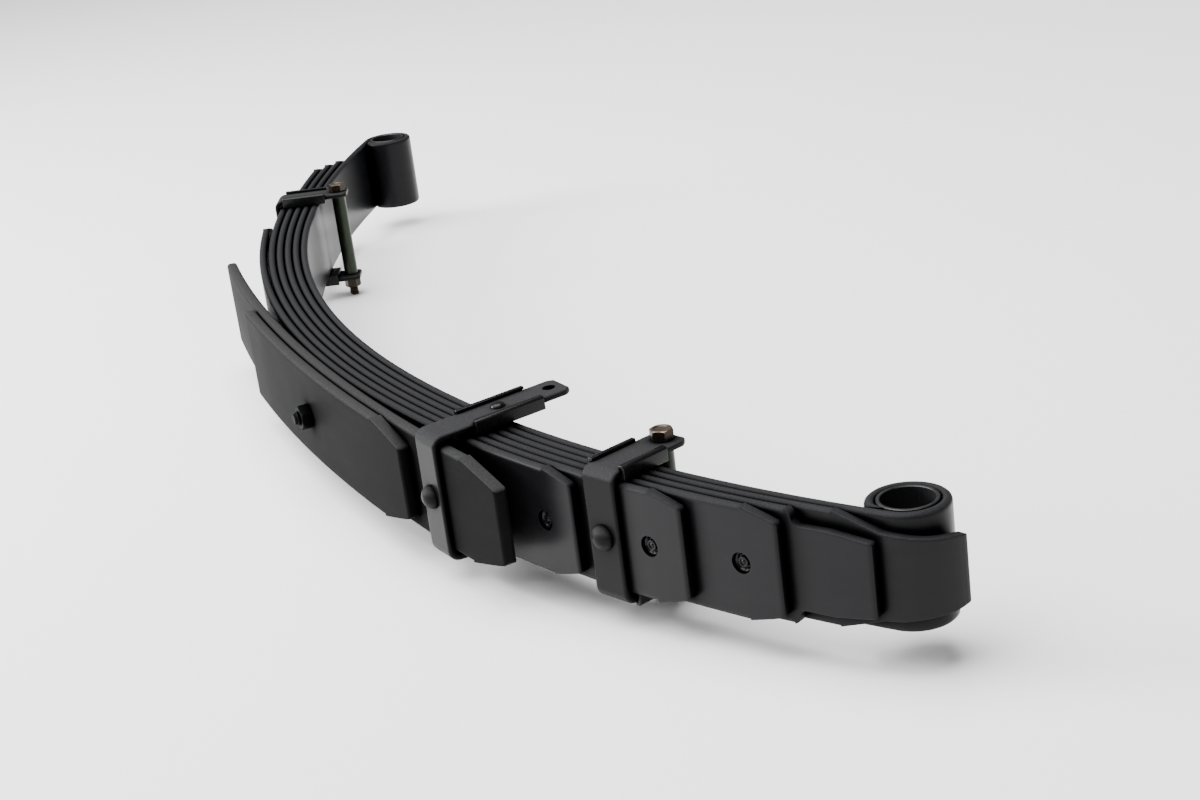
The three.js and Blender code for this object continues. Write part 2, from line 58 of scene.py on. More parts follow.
# ---- sizes of the spring ----
GAP = 0.3 * MM
LEAF_THICKNESS = 6.2 * MM
LEAF_PITCH = LEAF_THICKNESS + GAP
HELPER_THICKNESS = 8.6 * MM
HELPER_PITCH = HELPER_THICKNESS + GAP
PACK_LEAVES = 6

# Stations are lengths along a leaf from the centre bolt, positive towards the front eye.
Arc = namedtuple("Arc", "until radius")
Curve = namedtuple("Curve", "start angle front rear")
FAR = 10.0
PACK_FRONT_ARCS = (Arc(150 * MM, 1085 * MM), Arc(FAR, 953 * MM))
PACK_REAR_ARCS = (Arc(420 * MM, 1085 * MM), Arc(FAR, 1430 * MM))
HELPER_ARCS = (Arc(FAR, 2044 * MM),)

# Each pack leaf is flatter than the main leaf by this curvature, ahead of and behind the bolt.
FRONT_FLATTENING = [curvature / MM for curvature in (0, 0, 0.7e-5, 1.5e-5, 2.3e-5, 3.1e-5)]
REAR_FLATTENING = [curvature / MM for curvature in (0, 0.9e-5, 1.7e-5, 2.5e-5, 3.3e-5, 5.9e-5)]

FRONT_EYE = 506 * MM
REAR_EYE = -743 * MM
FRONT_CLIP = 332 * MM
REAR_CLIP = -494 * MM
MIDDLE_CLIP = 206 * MM
BLEND_REACH = 332 * MM

BUSH_BORE = 15.3 * MM
BUSH_OUTER = 17.5 * MM
EYE_BORE = BUSH_OUTER + GAP
EYE_WRAP = math.radians(340)
EYE_SCARF = EYE_BORE - 0.6 * MM
WRAPPER_RADIUS = 28 * MM
WRAPPER_START = FRONT_EYE + 1.8 * MM
WRAPPER_TURN = math.radians(81)

ROLLED_EDGE = 2.8 * MM
SHEARED_EDGE = 0.7 * MM
END_BOW = 1.6 * MM
LEAF_STEP = 9 * MM
CURL_STEP = math.radians(6)
TRIM_DEPTH = 6.5 * MM
TRIM_LENGTH = 25 * MM
HELPER_TRIM_DEPTH = 10.5 * MM
HELPER_TRIM_LENGTH = 43 * MM
WRAPPER_HALF_WIDTH = 26 * MM
WRAPPER_TOP_HALF_WIDTH = 21.8 * MM
WRAPPER_END_HALF_WIDTH = 19.9 * MM
SHOULDER = 449.5 * MM
TONGUE_HALF_WIDTH = 25.5 * MM
TONGUE_TIP_HALF_WIDTH = 22.3 * MM

BUTTON_INSET = 27 * MM
BUTTON_HOLE = 6.5 * MM

CENTRE_BOLT = 5 * MM
CENTRE_HEAD_RADIUS = 8 * MM
CENTRE_HEAD_HEIGHT = 7 * MM
CENTRE_NUT_FLATS = 16 * MM
CENTRE_NUT_HEIGHT = 8 * MM
CENTRE_STUD = 4 * MM

STRAP_WIDTH = 26 * MM
STRAP_THICKNESS = 4 * MM
STRAP_BEND = 3.5 * MM
STRAP_EDGE = 1.4 * MM
LINER_THICKNESS = 2.5 * MM
LINER_WALL = 2.2 * MM
LINER_LIP = 2.3 * MM
LINER_BUTTON = 3 * MM

CLIP_BOLT = 4 * MM
CLIP_BOLT_FLATS = 13 * MM
CLIP_HEAD_HEIGHT = 6.6 * MM
CLIP_NUT_HEIGHT = 8 * MM
CLIP_BOLT_STUD = 8.5 * MM
SPACER_OUTER = 6.2 * MM
RIVET_SHANK = 4 * MM
RIVET_DOME = 7.8 * MM
RIVET_HEIGHT = 6.2 * MM

LEAF_LOW, LEAF_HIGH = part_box("leaf_3")
MID_Z = (LEAF_LOW.z + LEAF_HIGH.z) / 2
HALF_WIDTH = (LEAF_HIGH.z - LEAF_LOW.z) / 2
EAR_INNER = HALF_WIDTH + GAP + LINER_THICKNESS + GAP
EAR_OUTER = EAR_INNER + STRAP_THICKNESS
UP = Vector((0, 0, 1))


# ---- curves and frames along the spring ----
def outward(angle):
    return Vector((math.sin(angle), -math.cos(angle), 0))


def forward(angle):
    return Vector((math.cos(angle), math.sin(angle), 0))


def locate(curve, station, offset=0.0):
    """The point and tangent angle at a station, at an offset outward from the curve."""
    way = -1 if station < 0 else 1
    point = curve.start.copy()
    angle = curve.angle
    done = 0.0
    for arc in curve.front if way > 0 else curve.rear:
        length = min(abs(station), arc.until) - done
        if length > 0:
            turned = angle + way * length / arc.radius
            point += arc.radius * (outward(turned) - outward(angle))
            angle = turned
            done += length
    return point + offset * outward(angle), angle


def centre_of(node):
    low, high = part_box(node)
    return Vector(((low.x + high.x) / 2, (low.y + high.y) / 2, MID_Z))


def pack_curve():
    """The main leaf's concave face, hung between the two eye bushes of the frame."""
    front = centre_of("front_eye_bush")
    rear = centre_of("rear_eye_bush")
    trial = Curve(Vector(), 0.0, PACK_FRONT_ARCS, PACK_REAR_ARCS)
    trial_front = locate(trial, FRONT_EYE, -EYE_BORE)[0]
    trial_rear = locate(trial, REAR_EYE, -EYE_BORE)[0]
    chord = front - rear
    trial_chord = trial_front - trial_rear
    angle = math.atan2(chord.y, chord.x) - math.atan2(trial_chord.y, trial_chord.x)
    start = front - Matrix.Rotation(angle, 3, "Z") @ trial_front
    return Curve(start, angle, PACK_FRONT_ARCS, PACK_REAR_ARCS)


PACK = pack_curve()
HELPERS = Curve(locate(PACK, 0, PACK_LEAVES * LEAF_PITCH)[0], PACK.angle, HELPER_ARCS, HELPER_ARCS)
SEAT = PACK_LEAVES * LEAF_PITCH + 2 * HELPER_PITCH - GAP


def flatten(arcs, flattening):
    return [Arc(arc.until, 1 / (1 / arc.radius - flattening)) for arc in arcs]


def leaf_curve(level):
    """The curve of a pack leaf; level counts out from the main leaf, which is 1."""
    front = flatten(PACK.front, FRONT_FLATTENING[level - 1])
    rear = flatten(PACK.rear, REAR_FLATTENING[level - 1])
    return PACK._replace(front=front, rear=rear)


def matrix_of(x_axis, y_axis, z_axis, origin):
    matrix = Matrix((x_axis, y_axis, z_axis)).transposed().to_4x4()
    matrix.translation = origin
    return matrix


def leaf_frame(curve, station, offset):
    """x forward along the leaf, y up, z outward."""
    point, angle = locate(curve, station, offset)
    return matrix_of(forward(angle), UP, outward(angle), point)


def upright_frame(curve, station, offset):
    """x forward along the leaf, y inward, z up."""
    point, angle = locate(curve, station, offset)
    return matrix_of(forward(angle), -outward(angle), UP, point)


# ---- meshes ----
def mesh_object(name, verts, faces, smooth_angle=35):
    mesh = bpy.data.meshes.new(name)
    mesh.from_pydata(verts, [], faces)
    mesh.update()
    return finish_mesh(name, mesh, smooth_angle)


def finish_mesh(name, mesh, smooth_angle=35):
    work = bmesh.new()
    work.from_mesh(mesh)
    bmesh.ops.recalc_face_normals(work, faces=work.faces)
    work.to_mesh(mesh)
    work.free()
    mesh.shade_smooth()
    mesh.set_sharp_from_angle(angle=math.radians(smooth_angle))
    obj = bpy.data.objects.new(name, mesh)
    bpy.context.scene.collection.objects.link(obj)
    return obj


def tube_faces(rings, size):
    """Quads between consecutive rings of the same size, and a cap on the first and the last."""
    faces = []
    for i in range(rings - 1):
        for j in range(size):
            k = (j + 1) % size
            faces.append((i * size + j, i * size + k, (i + 1) * size + k, (i + 1) * size + j))
    faces.append(tuple(range(size))[::-1])
    faces.append(tuple((rings - 1) * size + j for j in range(size)))
    return faces


# side points across the strip and out through its thickness; along and bow bend a ring's
# points back from the origin towards the strip's edges.
Section = namedtuple("Section", "origin out side half_width inset thickness radius along bow",
                     defaults=(Vector(), 0.0))


def section_ring(section):
    """Points round a strip at one place: a rectangle with rounded corners, and a loop of
    points a little way in from each corner that keeps the broad faces flat."""
    across = section.half_width - section.inset
    low = section.inset
    high = section.thickness - section.inset
    most = (high - low) / 2 - 0.05 * MM
    round_off = min(max(section.radius - section.inset, 0.15 * MM), most)
    steps = 3
    ring = []
    for side, depth, first in ((1, high, 0), (-1, high, 1), (-1, low, 2), (1, low, 3)):
        corner = []
        middle_across = side * (across - round_off)
        middle_depth = depth - round_off if depth == high else depth + round_off
        for i in range(steps + 1):
            turn = (first + i / steps) * math.pi / 2
            across_here = middle_across + round_off * math.cos(turn)
            depth_here = middle_depth + round_off * math.sin(turn)
            corner.append((across_here, depth_here))
        flat = (side * (across - round_off - 1.2 * MM), depth)
        ring.extend(corner + [flat] if first in (0, 2) else [flat] + corner)
    points = []
    for a, d in ring:
        back = section.bow * (a / section.half_width) ** 2
        points.append(section.origin + a * section.side + d * section.out - back * section.along)
    return points


def strip(name, sections):
    """A bar of metal swept through its sections."""
    verts = []
    for section in sections:
        verts.extend(section_ring(section))
    size = len(verts) // len(sections)
    return mesh_object(name, verts, tube_faces(len(sections), size), 40)


def lathe(name, profile, matrix, sides=48, smooth_angle=35):
    """A turned piece on the z axis of its frame, from a [radius, height] profile whose ends
    lie on the axis, or that closes on itself."""
    closed = profile[0] == profile[-1]
    points = profile[:-1] if closed else profile
    verts = []
    rows = []
    for radius, height in points:
        if radius < 1e-9:
            rows.append([len(verts)])
            verts.append(matrix @ Vector((0, 0, height)))
            continue
        rows.append(list(range(len(verts), len(verts) + sides)))
        for i in range(sides):
            turn = 2 * math.pi * i / sides
            verts.append(matrix @ Vector((radius * math.cos(turn), radius * math.sin(turn), height)))
    if closed:
        rows.append(rows[0])
    faces = []
    for lower, upper in zip(rows, rows[1:]):
        for i in range(sides):
            k = (i + 1) % sides
            corners = [lower[i % len(lower)], lower[k % len(lower)]]
            corners += [upper[k % len(upper)], upper[i % len(upper)]]
            unique = list(dict.fromkeys(corners))
            if len(unique) > 2:
                faces.append(unique)
    return mesh_object(name, verts, faces, smooth_angle)


def cut(obj, cutter):
    """Takes the cutter's shape out of an object and removes the cutter."""
    modifier = obj.modifiers.new("cut", "BOOLEAN")
    modifier.operation = "DIFFERENCE"
    modifier.solver = "EXACT"
    modifier.object = cutter
    apply_modifiers(obj)
    bpy.data.objects.remove(cutter)


def apply_modifiers(obj):
    graph = bpy.context.evaluated_depsgraph_get()
    mesh = bpy.data.meshes.new_from_object(obj.evaluated_get(graph))
    obj.modifiers.clear()
    obj.data = mesh
    mesh.set_sharp_from_angle(angle=math.radians(35))


def drill(obj, radius, start, end, matrix):
    cutter = lathe("drill", [(0, start), (radius, start), (radius, end), (0, end)], matrix, 40)
    cut(obj, cutter)


# ---- leaves ----
Curl = namedtuple("Curl", "start radius turn")
Leaf = namedtuple("Leaf", "curve offset thickness rear front taper rear_curl front_curl "
                  "bowed_rear bowed_front", defaults=(None, None, False, False))


def thickness_at(leaf, station):
    """The leaf's thickness, which runs out where an eye's end is scarfed along the leaf."""
    for curl, way in ((leaf.rear_curl, -1), (leaf.front_curl, 1)):
        if curl and curl.turn > math.pi:
            turned = way * (station - curl.start) / curl.radius
            if turned > 1.6 * math.pi:
                return min(leaf.thickness, EYE_SCARF / math.cos(turned) - curl.radius)
    return leaf.thickness


def half_width_at(taper, station):
    """The half width at a station, from (station, half width) pairs in order."""
    if station <= taper[0][0]:
        return taper[0][1]
    for (s0, w0), (s1, w1) in zip(taper, taper[1:]):
        if station <= s1:
            return w0 + (w1 - w0) * (station - s0) / max(s1 - s0, 1e-9)
    return taper[-1][1]


def follow(leaf, station):
    """The point on a leaf's inner face and its tangent angle, along its curls too."""
    for curl, way in ((leaf.rear_curl, -1), (leaf.front_curl, 1)):
        if curl and way * (station - curl.start) > 0:
            centre, angle = locate(leaf.curve, curl.start, leaf.offset - curl.radius)
            turned = angle + (station - curl.start) / curl.radius
            return centre + curl.radius * outward(turned), turned
    return locate(leaf.curve, station, leaf.offset)


def leaf_ends(leaf):
    """The first and last stations, counting the length of the curls."""
    rear, front = leaf.rear, leaf.front
    if leaf.rear_curl:
        rear = leaf.rear_curl.start - leaf.rear_curl.radius * leaf.rear_curl.turn
    if leaf.front_curl:
        front = leaf.front_curl.start + leaf.front_curl.radius * leaf.front_curl.turn
    return rear, front


def leaf_stations(leaf):
    rear, front = leaf_ends(leaf)
    found = set()
    count = math.ceil((front - rear) / LEAF_STEP)
    for i in range(1, count):
        found.add(rear + (front - rear) * i / count)
    for curl, way in ((leaf.rear_curl, -1), (leaf.front_curl, 1)):
        if curl:
            steps = math.ceil(curl.turn / CURL_STEP)
            for i in range(steps + 1):
                found.add(curl.start + way * curl.radius * curl.turn * i / steps)
    for station, _ in leaf.taper:
        found.update((station - 0.5 * MM, station, station + 0.5 * MM))
    for i in range(1, 4):
        found.update((rear + END_BOW * 2 * i, front - END_BOW * 2 * i))
    ease = 0.8 * MM
    inner = [s for s in sorted(found) if rear + 1.2 * ease < s < front - 1.2 * ease]
    spaced = [inner[0]]
    for station in inner[1:]:
        if station - spaced[-1] > 0.2 * MM:
            spaced.append(station)
    return [(station, 0.0) for station in spaced]


def leaf_object(name, leaf):
    rear, front = leaf_ends(leaf)
    ease = 1.6 * MM
    rounding = [(1 - math.sin(t), 1 - math.cos(t)) for t in (0, math.pi / 6, math.pi / 3, math.pi / 2)]
    places = [(rear + ease * along, ease * inset) for along, inset in reversed(rounding)]
    places += leaf_stations(leaf)
    places += [(front - ease * along, ease * inset) for along, inset in rounding]
    sections = []
    for station, inset in places:
        point, angle = follow(leaf, station)
        width = half_width_at(leaf.taper, station)
        rolled = width > HALF_WIDTH - 0.1 * MM
        radius = ROLLED_EDGE if rolled else SHEARED_EDGE
        thickness = thickness_at(leaf, station)
        bow = end_bow(leaf, station)
        sections.append(Section(point, outward(angle), UP, width, inset, thickness, radius,
                                forward(angle), bow))
    return strip(name, sections)


def end_bow(leaf, station):
    """How far a ring's edges are pulled back from a bowed end, fading out along the leaf."""
    fade = 8 * END_BOW
    bow = 0.0
    if leaf.bowed_front:
        bow += END_BOW * max(0.0, 1 - (leaf.front - station) / fade)
    if leaf.bowed_rear:
        bow -= END_BOW * max(0.0, 1 - (station - leaf.rear) / fade)
    return bow


def crop_rear(rear, depth=TRIM_DEPTH, length=TRIM_LENGTH):
    return [(rear, HALF_WIDTH - depth), (rear + length, HALF_WIDTH)]


def crop_front(front, depth=TRIM_DEPTH, length=TRIM_LENGTH):
    return [(front - length, HALF_WIDTH), (front, HALF_WIDTH - depth)]


def pack_leaf(level, rear, front):
    taper = crop_rear(rear) + crop_front(front)
    return Leaf(leaf_curve(level), (level - 1) * LEAF_PITCH, LEAF_THICKNESS, rear, front, taper,
                bowed_rear=True, bowed_front=True)


def main_leaf():
    front = Curl(FRONT_EYE, EYE_BORE, EYE_WRAP)
    rear = Curl(REAR_EYE, EYE_BORE, EYE_WRAP)
    return Leaf(PACK, 0.0, LEAF_THICKNESS, REAR_EYE, FRONT_EYE, [(0.0, HALF_WIDTH)], rear, front)


def wrapper_leaf(rear):
    """The second leaf: loose round the front eye, and narrower there."""
    wrap = Curl(WRAPPER_START, WRAPPER_RADIUS, WRAPPER_TURN)
    taper = crop_rear(rear)
    taper += [(FRONT_EYE - 31 * MM, HALF_WIDTH), (FRONT_EYE - 2 * MM, WRAPPER_HALF_WIDTH)]
    reach = WRAPPER_TURN - 9 * MM / WRAPPER_RADIUS
    for i in range(1, 6):
        turn = reach * i / 5
        narrowing = (WRAPPER_HALF_WIDTH - WRAPPER_TOP_HALF_WIDTH) * math.sin(turn) / math.sin(reach)
        taper.append((WRAPPER_START + WRAPPER_RADIUS * turn, WRAPPER_HALF_WIDTH - narrowing))
    taper.append((WRAPPER_START + WRAPPER_RADIUS * WRAPPER_TURN, WRAPPER_END_HALF_WIDTH))
    return Leaf(leaf_curve(2), LEAF_PITCH, LEAF_THICKNESS, rear, WRAPPER_START, taper, None, wrap,
                bowed_rear=True)


def tongue_leaf(rear, front):
    """The third leaf steps in at rounded shoulders to a narrower tongue."""
    bend = (HALF_WIDTH - TONGUE_HALF_WIDTH) / 2
    taper = crop_rear(rear)
    turns = [i / 6 * math.pi / 2 for i in range(7)]
    for turn in turns[:-1]:
        taper.append((SHOULDER + bend * math.sin(turn), HALF_WIDTH - bend * (1 - math.cos(turn))))
    for turn in turns[1:]:
        station = SHOULDER + bend * (2 - math.cos(turn))
        taper.append((station, TONGUE_HALF_WIDTH + bend * (1 - math.sin(turn))))
    taper += [(front - 26 * MM, TONGUE_HALF_WIDTH), (front, TONGUE_TIP_HALF_WIDTH)]
    return Leaf(leaf_curve(3), 2 * LEAF_PITCH, LEAF_THICKNESS, rear, front, taper, bowed_rear=True)


def helper_leaf(level, rear, front):
    taper = [(rear, HALF_WIDTH)] + crop_front(front, HELPER_TRIM_DEPTH, HELPER_TRIM_LENGTH)
    return Leaf(HELPERS, (level - 1) * HELPER_PITCH, HELPER_THICKNESS, rear, front, taper,
                bowed_front=True)


PACK_ENDS = {2: -680 * MM, 3: (-668 * MM, 503 * MM), 4: (-654 * MM, 451 * MM),
             5: (-520 * MM, 391 * MM), 6: (-440 * MM, 311.5 * MM)}
BUTTON_ENDS = {4: PACK_ENDS[4], 5: PACK_ENDS[5][1:], 6: PACK_ENDS[6]}
LEAVES = {
    "leaf_1_main": main_leaf(),
    "leaf_2_wrapper": wrapper_leaf(PACK_ENDS[2]),
    "leaf_3": tongue_leaf(*PACK_ENDS[3]),
    "leaf_4": pack_leaf(4, *PACK_ENDS[4]),
    "leaf_5": pack_leaf(5, *PACK_ENDS[5]),
    "leaf_6": pack_leaf(6, *PACK_ENDS[6]),
    "helper_leaf_1": helper_leaf(1, -330 * MM, 286.5 * MM),
    "helper_leaf_2": helper_leaf(2, -175 * MM, 175 * MM),
}


def button_station(end):
    return end - math.copysign(BUTTON_INSET, end)


def leaf_holes(name):
    """(station, radius) of the round holes through a leaf."""
    holes = [(0.0, CENTRE_BOLT + GAP)]
    rivet = RIVET_SHANK + GAP
    if name == "leaf_5":
        holes += [(FRONT_CLIP, rivet), (REAR_CLIP, rivet)]
    if name == "helper_leaf_1":
        holes.append((MIDDLE_CLIP, rivet))
    if name[-1] in "456":
        holes += [(button_station(end), BUTTON_HOLE) for end in BUTTON_ENDS[int(name[-1])]]
    return holes


# ---- materials ----
def node_tree(name):
    material = bpy.data.materials.new(name)
    material.use_nodes = True
    return material, material.node_tree.nodes, material.node_tree.links


def noise(nodes, links, scale, detail=4.0, roughness=0.55, stretch=None):
    """An object-space noise; stretch scales its coordinates along x, y and z."""
    coordinates = nodes.new("ShaderNodeTexCoord").outputs["Object"]
    if stretch:
        mapping = nodes.new("ShaderNodeMapping")
        mapping.inputs["Scale"].default_value = stretch
        links.new(coordinates, mapping.inputs["Vector"])
        coordinates = mapping.outputs["Vector"]
    texture = nodes.new("ShaderNodeTexNoise")
    texture.inputs["Scale"].default_value = scale
    texture.inputs["Detail"].default_value = detail
    texture.inputs["Roughness"].default_value = roughness
    links.new(coordinates, texture.inputs["Vector"])
    return texture.outputs["Fac"]


def ramp(nodes, links, factor, stops):
    """A colour ramp from (position, grey or colour) stops."""
    node = nodes.new("ShaderNodeValToRGB")
    elements = node.color_ramp.elements
    for i, (position, value) in enumerate(stops):
        element = elements[i] if i < 2 else elements.new(position)
        element.position = position
        colour = (value, value, value) if isinstance(value, (int, float)) else value
        element.color = (*colour, 1.0)
    links.new(factor, node.inputs["Fac"])
    return node.outputs["Color"]


def mix(nodes, links, factor, first, second, mode="MIX"):
    node = nodes.new("ShaderNodeMix")
    node.data_type = "RGBA"
    node.blend_type = mode
    for socket, value in (("Factor", factor), ("A", first), ("B", second)):
        target = next(s for s in node.inputs if s.name == socket and s.enabled)
        if isinstance(value, bpy.types.NodeSocket):
            links.new(value, target)
        elif socket == "Factor":
            target.default_value = value
        else:
            target.default_value = (*value, 1.0)
    return next(s for s in node.outputs if s.enabled)


def bumps(nodes, links, heights):
    """Stacks (height, strength, distance) bumps and returns the normal."""
    normal = None
    for height, strength, distance in heights:
        node = nodes.new("ShaderNodeBump")
        node.inputs["Strength"].default_value = strength
        node.inputs["Distance"].default_value = distance
        links.new(height, node.inputs["Height"])
        if normal:
            links.new(normal, node.inputs["Normal"])
        normal = node.outputs["Normal"]
    return normal


def upward_mask(nodes, links, low, high):
    """White where a surface looks straight up or down, as the long edges of the leaves do."""
    normal = nodes.new("ShaderNodeNewGeometry").outputs["Normal"]
    parts = nodes.new("ShaderNodeSeparateXYZ")
    links.new(normal, parts.inputs["Vector"])
    size = nodes.new("ShaderNodeMath")
    size.operation = "ABSOLUTE"
    links.new(parts.outputs["Z"], size.inputs[0])
    return ramp(nodes, links, size.outputs["Value"], [(low, 0.0), (high, 1.0)])


def painted_crease_shade(nodes, links, reach):
    """Painted shade: white on open surfaces, dark in the corner where one piece steps up from another."""
    occlusion = nodes.new("ShaderNodeAmbientOcclusion")
    occlusion.samples = 8
    occlusion.inputs["Distance"].default_value = reach
    return ramp(nodes, links, occlusion.outputs["AO"], [(0.55, 0.06), (0.96, 1.0)])


def paint(name, face, edge, roughness, specular):
    """Satin black paint over rolled steel. The broad faces are smooth, with faint streaks
    along the leaf and a few rubbed marks; the long edges are greyer and speckled. Painted
    shade darkens the paint and takes away its shine in the corners between pieces."""
    material, nodes, links = node_tree(name)
    shader = nodes["Principled BSDF"]
    cloud = noise(nodes, links, 9, 5, 0.6)
    streak = noise(nodes, links, 60, 4, 0.6, (0.12, 0.12, 2.2))
    grain = noise(nodes, links, 1100, 3, 0.7)
    peel = noise(nodes, links, 330, 2, 0.5)
    wave = noise(nodes, links, 26, 2, 0.4)
    edges = upward_mask(nodes, links, 0.15, 0.6)
    # painted shade: an occlusion probe that darkens corners and the gaps between stacked pieces
    crease_shade = painted_crease_shade(nodes, links, 16 * MM)

    dark = tuple(0.72 * c for c in face)
    base = mix(nodes, links, ramp(nodes, links, cloud, [(0.34, 0.0), (0.66, 1.0)]), dark, face)
    pale_streaks = ramp(nodes, links, streak, [(0.5, 0.0), (0.8, 0.08)])
    base = mix(nodes, links, pale_streaks, base, edge)
    rubbed = ramp(nodes, links, noise(nodes, links, 210, 6, 0.75), [(0.64, 0.0), (0.72, 0.5)])
    base = mix(nodes, links, rubbed, base, tuple(2.2 * c for c in face))
    speckled = ramp(nodes, links, grain, [(0.44, 0.8), (0.62, 1.2)])
    speckled_edge = mix(nodes, links, 1.0, edge, speckled, "MULTIPLY")
    base = mix(nodes, links, edges, base, speckled_edge)
    # painted shade darkens the colour in the corners
    links.new(mix(nodes, links, 1.0, base, crease_shade, "MULTIPLY"), shader.inputs["Base Color"])

    low, high = roughness
    satin = ramp(nodes, links, cloud, [(0.3, low), (0.7, high)])
    rough = mix(nodes, links, rubbed, satin, (high + 0.12,) * 3)
    rough = mix(nodes, links, edges, rough, (0.52,) * 3)
    links.new(rough, shader.inputs["Roughness"])
    shine = ramp(nodes, links, edges, [(0.0, specular), (1.0, 0.2 * specular)])
    # painted shade takes the shine away in the same corners
    shine = mix(nodes, links, 1.0, shine, crease_shade, "MULTIPLY")
    links.new(shine, shader.inputs["Specular IOR Level"])
    heights = [(wave, 0.3, 0.5 * MM), (peel, 0.22, 0.06 * MM), (grain, 0.3, 0.035 * MM)]
    links.new(bumps(nodes, links, heights), shader.inputs["Normal"])
    return material


def plastic(name, colour):
    """Moulded black plastic: a fine spark-eroded grain with grey dust in it."""
    material, nodes, links = node_tree(name)
    shader = nodes["Principled BSDF"]
    cloud = noise(nodes, links, 70, 4, 0.6)
    texture = noise(nodes, links, 1500, 2, 0.6)
    dust = ramp(nodes, links, noise(nodes, links, 320, 6, 0.75), [(0.56, 0.0), (0.74, 0.6)])
    tint = ramp(nodes, links, cloud, [(0.35, 0.0), (0.7, 1.0)])
    base = mix(nodes, links, tint, colour, tuple(1.7 * c for c in colour))
    links.new(mix(nodes, links, dust, base, tuple(5 * c for c in colour)), shader.inputs["Base Color"])
    links.new(ramp(nodes, links, cloud, [(0.3, 0.2), (0.75, 0.34)]), shader.inputs["Roughness"])
    shader.inputs["Specular IOR Level"].default_value = 0.15
    links.new(bumps(nodes, links, [(texture, 0.3, 0.03 * MM)]), shader.inputs["Normal"])
    return material


def plated(name, colour, tint, roughness, metallic, shaded_side_share):
    """Chromated zinc: its tint wanders between two colours over metal, under fine scratches
    and small dull spots. The upright faces carry painted shade: they show only a share of
    the plain colour, and the last argument is that share."""
    material, nodes, links = node_tree(name)
    shader = nodes["Principled BSDF"]
    cloud = noise(nodes, links, 130, 3, 0.6)
    scratch = noise(nodes, links, 700, 4, 0.7, (1, 1, 0.08))
    spots = ramp(nodes, links, noise(nodes, links, 420, 5, 0.7), [(0.56, 0.0), (0.66, 0.75)])
    shade = ramp(nodes, links, cloud, [(0.4, 0.0), (0.6, 1.0)])
    base = mix(nodes, links, shade, colour, tint)
    wear = ramp(nodes, links, scratch, [(0.35, 0.55), (0.65, 1.1)])
    base = mix(nodes, links, 0.75, base, wear, "MULTIPLY")
    # painted shade: where a face is upright it shows only a share of the plain colour
    level = upward_mask(nodes, links, 0.5, 0.9)
    base = mix(nodes, links, level, tuple(shaded_side_share * c for c in colour), base)
    links.new(mix(nodes, links, spots, base, tuple(0.3 * c for c in colour)), shader.inputs["Base Color"])
    low, high = roughness
    links.new(ramp(nodes, links, scratch, [(0.3, high), (0.7, low)]), shader.inputs["Roughness"])
    shader.inputs["Metallic"].default_value = metallic
    links.new(bumps(nodes, links, [(scratch, 0.3, 0.04 * MM)]), shader.inputs["Normal"])
    return material


def make_materials():
    glossy = (0.24, 0.32)
    satin = (0.28, 0.37)
    flat = (0.46, 0.56)
    return {
        "leaf_paint": paint("leaf_paint", (0.0048, 0.0046, 0.0058), (0.02, 0.02, 0.0214), satin, 0.14),
        "helper_paint": paint("helper_paint", (0.0068, 0.0068, 0.007), (0.03, 0.03, 0.0306), flat, 0.01),
        "clip_paint": paint("clip_paint", (0.006, 0.006, 0.0064), (0.027, 0.027, 0.0282), glossy, 0.065),
        "fastener_paint": paint("fastener_paint", (0.003, 0.003, 0.0033), (0.005, 0.005, 0.0054), flat, 0.04),
        "black_plastic": plastic("black_plastic", (0.0035, 0.0035, 0.0038)),
        # The last number of each plated material is the share of its colour left on its upright faces by
        # painted shade.
        "bush_steel": plated("bush_steel", (0.022, 0.022, 0.0235), (0.045, 0.045, 0.047),
                             (0.28, 0.45), 0.6, 1.0),
        "yellow_zinc": plated("yellow_zinc", (0.17, 0.125, 0.085), (0.12, 0.095, 0.07),
                              (0.25, 0.4), 0.85, 0.14),
        "olive_zinc": plated("olive_zinc", (0.017, 0.025, 0.013), (0.045, 0.017, 0.015),
                             (0.26, 0.42), 0.7, 0.8),
    }


MATERIALS = make_materials()


def dress(obj, node, body, slot):
    """Stands a piece in for its CAD node, on its body and in its material slot."""
    obj.data.materials.clear()
    obj.data.materials.append(MATERIALS[slot])
    if body:
        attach(obj, body)
    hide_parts(node)
    return obj


# ---- building the leaves ----
def build_leaves():
    start = locate(PACK, BLEND_REACH)[0]
    end = locate(PACK, -BLEND_REACH)[0]
    for name, leaf in LEAVES.items():
        piece = leaf_object(name + "_piece", leaf)
        for station, radius in leaf_holes(name):
            place = leaf_frame(leaf.curve, station, leaf.offset)
            drill(piece, radius, -2 * MM, leaf.thickness + 2 * MM, place)
        if name.startswith("helper"):
            dress(piece, name, "centre", "helper_paint")
        else:
            dress(piece, name, None, "leaf_paint")
            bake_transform(piece)


# ---- small pieces ----
def arc_profile(centre_radius, centre_height, radius, first, last, steps=6):
    """Profile points on a quarter or part of a circle; angles are in degrees from the radius."""
    points = []
    for i in range(steps + 1):
        turn = math.radians(first + (last - first) * i / steps)
        points.append((centre_radius + radius * math.cos(turn), centre_height + radius * math.sin(turn)))
    return points


